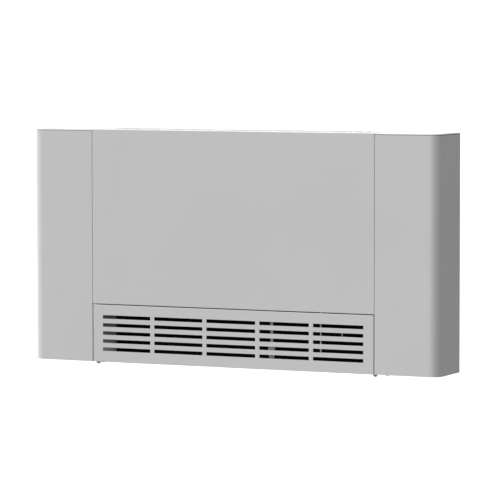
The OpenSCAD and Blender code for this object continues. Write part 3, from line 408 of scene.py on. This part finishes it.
def makeGalvanised():
    s = galvanised
    material, tree, shader, place = newMaterial("galvanisedSteel", s["roughMin"], s["metallic"])
    crystal = addNode(tree, "ShaderNodeTexVoronoi", {"Vector": place, "Scale": perMm(s["spangleMm"])})
    tone = addNode(tree, "ShaderNodeSeparateColor", {"Color": crystal.outputs["Color"]})
    colour = addNode(tree, "ShaderNodeValToRGB", {"Fac": tone.outputs[0]},
                     stops=[(0, s["dark"]), (1, s["light"])])
    tree.links.new(colour.outputs["Color"], shader.inputs["Base Color"])
    rough = addNode(tree, "ShaderNodeMapRange",
                    {"Value": tone.outputs[1], "To Min": s["roughMin"], "To Max": s["roughMax"]})
    tree.links.new(rough.outputs["Result"], shader.inputs["Roughness"])
    return material


# closed-cell foam sheet: black, matt, with open skin cells
foamSheet = {"skin": "#0A0A0A", "cell": "#040404", "cellMm": 2.4, "skinAt": 0.6, "roughness": 0.95,
             "specular": 0.05, "bump": 0.4, "bumpMm": 0.6}


def makeFoam():
    s = foamSheet
    material, tree, shader, place = newMaterial("closedCellFoam", s["roughness"])
    cell = addNode(tree, "ShaderNodeTexVoronoi", {"Vector": place, "Scale": perMm(s["cellMm"])})
    colour = addNode(tree, "ShaderNodeValToRGB", {"Fac": cell.outputs["Distance"]},
                     stops=[(0, s["cell"]), (s["skinAt"], s["skin"])])
    tree.links.new(colour.outputs["Color"], shader.inputs["Base Color"])
    bump = addNode(tree, "ShaderNodeBump",
                   {"Height": cell.outputs["Distance"], "Strength": s["bump"], "Distance": s["bumpMm"] * mm})
    tree.links.new(bump.outputs["Normal"], shader.inputs["Normal"])
    shader.inputs["Specular IOR Level"].default_value = s["specular"]
    return material


# woven nylon filter cloth: two crossed rows of threads, drawn coarser than the real 0.6 mm to show
filterCloth = {"thread": "#2B2B2B", "hole": "#050505", "threadMm": 3.95, "holeTo": 0.5, "threadFrom": 0.9,
               "roughness": 0.8, "bump": 0.5, "bumpMm": 0.5,
               "waveRadians": 20}    # how far a wave texture of scale 1 turns in a metre


def makeFilterCloth():
    s = filterCloth
    material, tree, shader, place = newMaterial("wovenNylonCloth", s["roughness"])
    scale = perMm(s["threadMm"]) * 2 * math.pi / s["waveRadians"]
    warp = addNode(tree, "ShaderNodeTexWave", {"Vector": place, "Scale": scale}, bands_direction="X")
    weft = addNode(tree, "ShaderNodeTexWave", {"Vector": place, "Scale": scale}, bands_direction="Y")
    weave = addNode(tree, "ShaderNodeMath", {0: warp.outputs["Fac"], 1: weft.outputs["Fac"]},
                    operation="MAXIMUM")
    colour = addNode(tree, "ShaderNodeValToRGB", {"Fac": weave.outputs[0]},
                     stops=[(s["holeTo"], s["hole"]), (s["threadFrom"], s["thread"])])
    tree.links.new(colour.outputs["Color"], shader.inputs["Base Color"])
    bump = addNode(tree, "ShaderNodeBump",
                   {"Height": weave.outputs[0], "Strength": s["bump"], "Distance": s["bumpMm"] * mm})
    tree.links.new(bump.outputs["Normal"], shader.inputs["Normal"])
    return material


# glass-fibre laminate under green solder mask: smooth green with paler copper runs
circuitLaminate = {"mask": "#1C5A38", "maskDark": "#194F32", "run": "#2E7A4E", "roughness": 0.35,
                   "runMm": 12, "runShare": 0.03,    # four rows of runs in 12 mm
                   "turnDeg": 90}                    # the board stands on edge


def makeLaminate():
    s = circuitLaminate
    material, tree, shader, place = newMaterial("solderMaskLaminate", s["roughness"])
    turned = addNode(tree, "ShaderNodeMapping",
                     {"Vector": place, "Rotation": (0, math.radians(s["turnDeg"]), 0)})
    runs = addNode(tree, "ShaderNodeTexBrick",
                   {"Vector": turned.outputs["Vector"], "Scale": perMm(s["runMm"]),
                    "Color1": hexColour(s["mask"]), "Color2": hexColour(s["maskDark"]),
                    "Mortar": hexColour(s["run"]), "Mortar Size": s["runShare"]})
    tree.links.new(runs.outputs["Color"], shader.inputs["Base Color"])
    return material


paint = makePowderCoat()
zinc = makeGalvanised()
foam = makeFoam()
clothWeave = makeFilterCloth()
laminate = makeLaminate()
# metals: light and dark tone, roughness and the size of the tarnish clouds in mm
brightSteel = makeTurnedMetal("brightDrawnSteel", "#B9BABC", "#96989B", 0.3, 30)    # cool clean shine
brass = makeTurnedMetal("turnedBrass", "#D2AE6A", "#B08C4C", 0.3, 18)               # warm yellow shine
copper = makeTurnedMetal("drawnCopper", "#C98A66", "#A2644A", 0.34, 26)             # red, browned in places
solder = makeTurnedMetal("silverBrazing", "#C9BCA6", "#A99878", 0.38, 6)            # pale straw beads
bronze = makeTurnedMetal("sinteredBronze", "#A98656", "#876843", 0.5, 12)           # dull brown, grainy
finMetal = makeTurnedMetal("aluminiumFinStock", "#D2D4D6", "#B9BCBF", 0.35, 40)     # pale, soft shine
rotorMetal = makeTurnedMetal("dullAluminium", "#7D8083", "#65686B", 0.5, 30)        # mid grey, little shine
# plastics, rubber, ferrite and paint: light and dark tone, roughness and the size of the grain in mm
ferrite = makeMoulded("sinteredFerrite", "#2C2C2E", "#222224", 0.6, 1.5)        # near black, like slate
blackAbs = makeMoulded("mouldedBlackAbs", "#1E1E1F", "#171718", 0.5, 1.2)       # black, soft gloss
whiteAbs = makeMoulded("mouldedWhiteAbs", "#DAD9D5", "#D3D2CD", 0.42, 1.2)      # off-white, soft gloss
greyNylon = makeMoulded("mouldedGreyNylon", "#8F9091", "#858687", 0.5, 1.2)     # mid grey, waxy
clipNylon = makeMoulded("mouldedDarkNylon", "#6C6D6E", "#636465", 0.5, 1.2)     # darker grey, waxy
probeAbs = makeMoulded("mouldedGreyAbs", "#A3A3A2", "#999998", 0.55, 1.2)       # light grey, half matt
rubber = makeMoulded("mouldedRubber", "#161616", "#101010", 0.75, 1.0)          # black, matt
tongueFoam = makeMoulded("mouldedFoam", "#242424", "#1B1B1B", 0.9, 2.5)         # charcoal, quite matt
motorPaint = makeMoulded("stovedSteelPaint", "#4A4C4F", "#424447", 0.4, 2.0)    # dark grey, hard gloss

finishes = {
    "cabinet_paint": paint, "grille_aluminium": paint, "galvanised_steel": zinc, "bright_steel": brightSteel,
    "grey_plastic": greyNylon, "magnet": ferrite, "foam": foam, "moulded_foam": tongueFoam,
    "rotor_aluminium": rotorMetal, "bronze": bronze, "black_rubber": rubber, "black_plastic": blackAbs,
    "filter_cloth": clothWeave, "white_plastic": whiteAbs, "fin_aluminium": finMetal, "copper": copper,
    "fitting_brass": brass, "motor_steel": motorPaint, "circuit_laminate": laminate,
}
for part in frame["record"]["subparts"]:
    piece = nodes[part["node"]]
    piece.data.materials.clear()
    piece.data.materials.append(finishes[part["material_slot"]])


# cross-recess pan-head screws on the plates inside the cheeks
coverScrew = {"headMm": 3.4, "heightMm": 2.2, "sides": 24, "rimMm": 1.1, "rimSteps": 4,
              "recessMm": 3.6, "recessWideMm": 1.0, "recessDeepMm": 1.3, "insetMm": 7, "coverRibMm": 1,
              "foldMm": 2, "foldUpMm": 8, "foldInMm": 16, "smoothDeg": 30}


def makeScrewHead():
    s = coverScrew
    top = s["heightMm"] * mm
    deselectAll()
    bpy.ops.mesh.primitive_cylinder_add(vertices=s["sides"], radius=s["headMm"] * mm, depth=top,
                                        location=(0, 0, top / 2))
    head = bpy.context.object
    applyPlace(head)
    bpy.ops.object.mode_set(mode="EDIT")
    pickFaces(head, lambda middle, normal: normal.z > faceLimit)
    bpy.ops.mesh.bevel(offset=s["rimMm"] * mm, segments=s["rimSteps"], affect="EDGES")
    bpy.ops.object.mode_set(mode="OBJECT")
    for turnDeg in (0, 90):
        deselectAll()
        bpy.ops.mesh.primitive_cube_add(size=1, rotation=(0, 0, math.radians(turnDeg)), location=(0, 0, top))
        bar = bpy.context.object
        bar.scale = (s["recessMm"] * mm, s["recessWideMm"] * mm, 2 * s["recessDeepMm"] * mm)
        applyPlace(bar)
        cutAway(head, bar)
    return head


def makeCoverScrews():
    s = coverScrew
    places = []
    plates = [("bearing_plate", -1, 0), ("motor_bracket", 1, 0), ("control_box_cover", 1, s["coverRibMm"])]
    for name, side, rib in plates:
        low, high = boxMm(name)
        x = low.x if side < 0 else high.x - rib
        for y in (low.y + s["insetMm"], high.y - s["insetMm"]):
            for z in (low.z + s["insetMm"], high.z - s["insetMm"]):
                places.append(placed(x, y, z, (side, 0, 0)))
    low, high = boxMm("control_plate")
    for y in (low.y + s["foldInMm"], high.y - s["foldInMm"]):
        places.append(placed(low.x + s["foldMm"], y, low.z + s["foldUpMm"], (1, 0, 0)))
    piece = copiesOf(makeScrewHead(), places, "coverScrews")
    return finishPiece(piece, "cabinet", brightSteel, s["smoothDeg"])


# male pipe threads on the two unions, crest a little proud of the spigot
spigotThread = {"innerMm": 12.6, "rootMm": 13.15, "crestMm": 13.65, "pitchMm": 1.81, "startMm": 1.2,
                "lengthMm": 15, "sides": 48, "smoothDeg": 25,
                "flanks": (0.15, 0.45, 0.55, 0.85)}    # root, crest, crest, root as shares of a pitch


def makeSpigotThreads():
    s = spigotThread
    profile = list(zip((s["rootMm"], s["crestMm"], s["crestMm"], s["rootMm"]), s["flanks"]))
    rings = [(s["innerMm"], s["startMm"]), (s["rootMm"], s["startMm"])]
    for turn in range(int(s["lengthMm"] / s["pitchMm"])):
        base = s["startMm"] + turn * s["pitchMm"]
        rings += [(radius, base + share * s["pitchMm"]) for radius, share in profile]
    rings.append((s["innerMm"], rings[-1][1]))
    places = []
    for name in ("supply_fitting", "return_fitting"):
        low, high = boxMm(name)
        places.append(placed((low.x + high.x) / 2, (low.y + high.y) / 2, low.z))
    piece = copiesOf(turnedRing(rings, s["sides"]), places, "spigotThreads")
    return finishPiece(piece, "cabinet", brass, s["smoothDeg"])


# hose barbs on the end of the drain spigot
drainBarb = {"innerMm": 7.0, "rootMm": 7.6, "crestMm": 8.5, "pitchMm": 4.5, "crestAt": 0.75, "rootAt": 0.85,
             "startMm": 1.5, "count": 3, "bendMm": 8, "sides": 40, "smoothDeg": 25}


def makeDrainBarbs():
    s = drainBarb
    rings = [(s["innerMm"], s["startMm"])]
    for i in range(s["count"]):
        base = s["startMm"] + i * s["pitchMm"]
        rings += [(s["rootMm"], base), (s["crestMm"], base + s["crestAt"] * s["pitchMm"]),
                  (s["rootMm"], base + s["rootAt"] * s["pitchMm"])]
    rings.append((s["innerMm"], rings[-1][1]))
    low, high = boxMm("drain_pan")
    places = [placed(low.x + s["bendMm"], (low.y + high.y) / 2, low.z)]
    piece = copiesOf(turnedRing(rings, s["sides"]), places, "drainBarbs")
    return finishPiece(piece, "cabinet", whiteAbs, s["smoothDeg"])


# rubber grommets where the two water pipes leave through the left frame plate
pipeGrommet = {"innerMm": 9.1, "lipMm": 14, "bodyMm": 12.6, "outsideMm": 3.2, "insideMm": 4.6,
               "roundMm": 0.9, "plateMm": 1.5, "clearMm": 0.1, "aboveDrainMm": 13, "belowVentMm": 14,
               "sides": 48, "smoothDeg": 30}


def makePipeGrommets():
    s = pipeGrommet
    # from the inside of the plate outwards: a rounded lip on each side of the sheet
    inner, lip, body, curve = s["innerMm"], s["lipMm"], s["bodyMm"], s["roundMm"]
    back, front = -s["insideMm"], s["outsideMm"]
    rings = [(inner, back), (lip - curve, back), (lip, back + curve), (lip, -s["plateMm"] - s["clearMm"]),
             (body, -s["plateMm"]), (body, 0),
             (lip, s["clearMm"]), (lip, front - curve), (lip - curve, front), (inner, front)]
    plateX = boxMm("coil_end_plates")[0].x - s["plateMm"]
    pipes = [("supply_fitting", boxMm("drain_pan")[1].z + s["aboveDrainMm"]),
             ("return_fitting", boxMm("air_vent")[0].z - s["belowVentMm"])]
    places = []
    for name, z in pipes:
        low, high = boxMm(name)
        places.append(placed(plateX, (low.y + high.y) / 2, z, (-1, 0, 0)))
    piece = copiesOf(turnedRing(rings, s["sides"]), places, "pipeGrommets")
    return finishPiece(piece, "cabinet", rubber, s["smoothDeg"])


makeCoverScrews()
makeSpigotThreads()
makeDrainBarbs()
makePipeGrommets()
print("stage 5: screws, pipe threads, hose barbs and grommets")


# coil fins at their real spacing: thin corrugated sheets square to the tubes
coilFin = {"tiltDeg": 15, "depthMm": 44, "heightMm": 225, "pitchMm": 2.2, "sheetMm": 0.18, "waveMm": 0.45,
           "waves": 8, "smoothDeg": 20}


def makeDenseFins():
    s = coilFin
    low, high = boxMm("coil_fins")
    deselectAll()
    bpy.ops.mesh.primitive_grid_add(x_subdivisions=s["waves"], y_subdivisions=1, size=1)
    fin = bpy.context.object
    fin.scale = (s["depthMm"] * mm, s["heightMm"] * mm, 1)
    applyPlace(fin)
    # every second line of points is lifted to a crest
    bpy.ops.object.mode_set(mode="EDIT")
    bpy.ops.mesh.select_mode(type="VERT")
    bpy.ops.mesh.select_all(action="DESELECT")
    mesh = bmesh.from_edit_mesh(fin.data)
    step = s["depthMm"] * mm / s["waves"]
    for vert in mesh.verts:
        vert.select_set(round((vert.co.x + s["depthMm"] / 2 * mm) / step) % 2 == 1)
    bmesh.update_edit_mesh(fin.data)
    bpy.ops.transform.translate(value=(0, 0, s["waveMm"] * mm))
    bpy.ops.object.mode_set(mode="OBJECT")
    applyModifier(fin, "SOLIDIFY", thickness=s["sheetMm"] * mm, offset=0)
    # the fin's depth lies along Y, its height along Z and its wave along X, then it leans with the coil
    stand = Matrix(((0, 0, 1, 0), (1, 0, 0, 0), (0, 1, 0, 0), (0, 0, 0, 1)))
    lean = Matrix.Rotation(math.radians(-s["tiltDeg"]), 4, "X") @ stand
    count = int((high.x - low.x - s["waveMm"] - s["sheetMm"]) / s["pitchMm"])
    y, z = (low.y + high.y) / 2, (low.z + high.z) / 2
    places = [Matrix.Translation(Vector((low.x + s["sheetMm"] + i * s["pitchMm"], y, z)) * mm) @ lean
              for i in range(count + 1)]
    piece = copiesOf(fin, places, "coilFins")
    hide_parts("coil_fins")
    return finishPiece(piece, "cabinet", finMetal, s["smoothDeg"])


# brazing fillets where the coil tubes enter the two headers
brazing = {"innerMm": 4.6, "rowMm": 11, "tubePitchMm": 25, "fromFinsMm": 19, "sides": 28, "smoothDeg": 40,
           "rings": [(6.8, -3.2), (6.5, -1.4), (5.9, 0.0), (5.2, 1.2), (4.9, 2.4)]}


def makeBrazing():
    s = brazing
    height = coilFin["heightMm"]
    tilt = math.radians(coilFin["tiltDeg"])
    rings = [(s["innerMm"], s["rings"][0][1])] + s["rings"] + [(s["innerMm"], s["rings"][-1][1])]
    low, high = boxMm("coil_fins")
    places = []
    for across in (-s["rowMm"], s["rowMm"]):
        for i in range(int(height / s["tubePitchMm"])):
            along = (i + 0.5) * s["tubePitchMm"] - height / 2
            y = (low.y + high.y) / 2 + across * math.cos(tilt) + along * math.sin(tilt)
            z = (low.z + high.z) / 2 - across * math.sin(tilt) + along * math.cos(tilt)
            places.append(placed(low.x - s["fromFinsMm"], y, z, (1, 0, 0)))
    piece = copiesOf(turnedRing(rings, s["sides"]), places, "brazingFillets")
    return finishPiece(piece, "cabinet", solder, s["smoothDeg"])


# plain tick marks round the two knobs, seen when the right lid is open
dialMarks = {"ringMm": 21.5, "longMm": 3.2, "wideMm": 0.9, "tipShare": 0.5, "highMm": 0.25, "roundMm": 0.08,
             "roundSteps": 2, "smoothDeg": 30,
             "knobs": [("thermostat_knob", -135, 135, 11), ("speed_knob", 0, 120, 4)]}


def makeDialMarks():
    s = dialMarks
    reach = Vector((s["wideMm"] / 2, s["longMm"] / 2, 0))
    tick = boxPiece("dialTick", -reach, reach + Vector((0, 0, s["highMm"])))
    bpy.ops.object.mode_set(mode="EDIT")
    pickFaces(tick, lambda middle, normal: normal.y > faceLimit)
    bpy.ops.transform.resize(value=(s["tipShare"], 1, 1), center_override=(0, s["longMm"] / 2 * mm, 0))
    pickFaces(tick, lambda middle, normal: normal.z > faceLimit)
    bpy.ops.mesh.bevel(offset=s["roundMm"] * mm, segments=s["roundSteps"], affect="EDGES")
    bpy.ops.object.mode_set(mode="OBJECT")
    top = boxMm("control_plate")[1].z
    out = Matrix.Translation((0, s["ringMm"] * mm, 0))
    places = []
    for name, first, last, count in s["knobs"]:
        low, high = boxMm(name)
        centre = placed((low.x + high.x) / 2, (low.y + high.y) / 2, top)
        for i in range(count):
            # zero points to the room, and the knobs turn clockwise seen from above
            angle = math.radians(first + (last - first) * i / (count - 1))
            places.append(centre @ Matrix.Rotation(math.pi - angle, 4, "Z") @ out)
    piece = copiesOf(tick, places, "dialMarks")
    return finishPiece(piece, "cabinet", whiteAbs, s["smoothDeg"])


makeDenseFins()
makeBrazing()
makeDialMarks()
print("stage 6: coil fins, brazing and dial marks")


# foam strip on the inner face of each cheek, which backs the joint line under the lid
lidSeal = {"wallMm": 1.2, "cornerMm": 25, "thickMm": 2.4, "tallMm": 9, "underTopMm": 2.95, "startMm": 2,
           "rearMm": 15, "turnSteps": 14, "roundMm": 0.5, "roundSteps": 2, "smoothDeg": 30}


def makeLidSeal(lidName, side):
    s = lidSeal
    low, high = boxMm(lidName)
    inner, outer = (low.x, high.x) if side > 0 else (high.x, low.x)
    startX = inner + side * s["startMm"]
    bendX = outer - side * s["cornerMm"]
    bendY = low.y + s["cornerMm"]
    y = low.y + s["wallMm"] + s["thickMm"] / 2
    z = high.z - s["underTopMm"] - s["tallMm"] / 2
    deselectAll()
    bpy.ops.mesh.primitive_plane_add(size=1, location=Vector((startX, y, z)) * mm,
                                     rotation=(0, math.pi / 2, 0))
    seal = bpy.context.object
    seal.name = lidName.replace("_lid", "LidSeal")
    seal.scale = (s["tallMm"] * mm, s["thickMm"] * mm, 1)
    applyPlace(seal)
    # along the front, round the corner and back along the side
    bpy.ops.object.mode_set(mode="EDIT")
    bpy.ops.mesh.select_all(action="SELECT")
    extrudeBy((bendX - startX) * mm, 0, 0)
    bpy.ops.mesh.spin(steps=s["turnSteps"], angle=-side * math.pi / 2, axis=(0, 0, 1),
                      center=Vector((bendX, bendY, z)) * mm)
    extrudeBy(0, (high.y - s["rearMm"] - bendY) * mm, 0)
    bpy.ops.mesh.select_all(action="SELECT")
    bpy.ops.mesh.remove_doubles()
    bpy.ops.mesh.normals_make_consistent(inside=False)
    bpy.ops.object.mode_set(mode="OBJECT")
    applyModifier(seal, "BEVEL", width=s["roundMm"] * mm, segments=s["roundSteps"], limit_method="ANGLE")
    return finishPiece(seal, "cabinet", foam, s["smoothDeg"])


# strip of the air probe, with the channel for its lead
probeStrip = {"leftMm": 2.3, "rightMm": 1.0, "channelInMm": 1.8, "channelDeepMm": 0.5, "roundMm": 0.2,
              "roundSteps": 2, "smoothDeg": 30}


def makeProbeStrip():
    s = probeStrip
    low, high = boxMm("probe_strip")
    low.x += s["leftMm"]
    high.x -= s["rightMm"]
    strip = boxPiece("probeStrip", low, high)
    bpy.ops.object.mode_set(mode="EDIT")
    pickFaces(strip, lambda middle, normal: normal.y < -faceLimit)
    bpy.ops.mesh.inset(thickness=s["channelInMm"] * mm)
    extrudeBy(0, s["channelDeepMm"] * mm, 0)
    bpy.ops.object.mode_set(mode="OBJECT")
    applyModifier(strip, "BEVEL", width=s["roundMm"] * mm, segments=s["roundSteps"], limit_method="ANGLE")
    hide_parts("probe_strip")
    return finishPiece(strip, "cabinet", probeAbs, s["smoothDeg"])


# tapered case of the air probe, on the foot of the strip, with slits for the air
probeCase = {"leftMm": 2.8, "rightMm": 1.2, "taperMm": 15, "taperTo": 0.55, "roundMm": 1.0, "roundSteps": 3,
             "slits": 3, "slitWideMm": 9, "slitHighMm": 1.2, "slitDeepMm": 1.5, "slitFirstMm": 13.5,
             "slitPitchMm": 2.8, "smoothDeg": 30}


def makeProbeCase():
    s = probeCase
    low, high = boxMm("air_probe")
    low.x += s["leftMm"]
    high.x += s["rightMm"]
    high.y = boxMm("probe_strip")[0].y
    middle = (low + high) / 2
    case = boxPiece("probeCase", low, high)
    bpy.ops.object.mode_set(mode="EDIT")
    bisectAt(low.z + s["taperMm"])
    pickFaces(case, lambda spot, normal: normal.z < -faceLimit)
    bpy.ops.transform.resize(value=(s["taperTo"], 1, 1), center_override=middle * mm)
    bpy.ops.object.mode_set(mode="OBJECT")
    applyModifier(case, "BEVEL", width=s["roundMm"] * mm, segments=s["roundSteps"], limit_method="ANGLE")
    reach = Vector((s["slitWideMm"] / 2, s["slitDeepMm"], s["slitHighMm"] / 2))
    for i in range(s["slits"]):
        centre = Vector((middle.x, low.y, low.z + s["slitFirstMm"] + i * s["slitPitchMm"]))
        cutAway(case, boxPiece("slitCutter", centre - reach, centre + reach))
    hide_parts("air_probe")
    return finishPiece(case, "cabinet", greyNylon, s["smoothDeg"])


# narrow clip on the back of the grille, across the second row of slots
slotClip = {"xMm": 296.5, "zMm": 92.4, "wideMm": 3.6, "tallMm": 19, "thickMm": 1.2, "sheetMm": 1.5,
            "bowMm": 0.8, "footMm": 3, "bendMm": 1, "roundMm": 0.3, "roundSteps": 2, "smoothDeg": 30}


def makeSlotClip():
    s = slotClip
    back = boxMm("intake_grille")[0].y + s["sheetMm"]
    low = Vector((s["xMm"] - s["wideMm"] / 2, back, s["zMm"] - s["tallMm"] / 2))
    high = Vector((s["xMm"] + s["wideMm"] / 2, back + s["thickMm"], s["zMm"] + s["tallMm"] / 2))
    clip = boxPiece("slotClip", low, high)
    # two flat feet on the sheet, and between them a bow that stands back from the slot
    bpy.ops.object.mode_set(mode="EDIT")
    for inset in (s["footMm"], s["footMm"] + s["bendMm"]):
        bisectAt(low.z + inset)
        bisectAt(high.z - inset)
    pickFaces(clip, lambda middle, normal: abs(middle.z - s["zMm"] * mm) < s["footMm"] * mm)
    bpy.ops.transform.translate(value=(0, s["bowMm"] * mm, 0))
    bpy.ops.object.mode_set(mode="OBJECT")
    applyModifier(clip, "BEVEL", width=s["roundMm"] * mm, segments=s["roundSteps"], limit_method="ANGLE")
    return finishPiece(clip, "grille_flap", clipNylon, s["smoothDeg"])


makeLidSeal("left_lid", -1)
makeLidSeal("right_lid", 1)
makeProbeStrip()
makeProbeCase()
makeSlotClip()
print("stage 7: lid seals, air probe and slot clip")


print("stage 8: scene built")
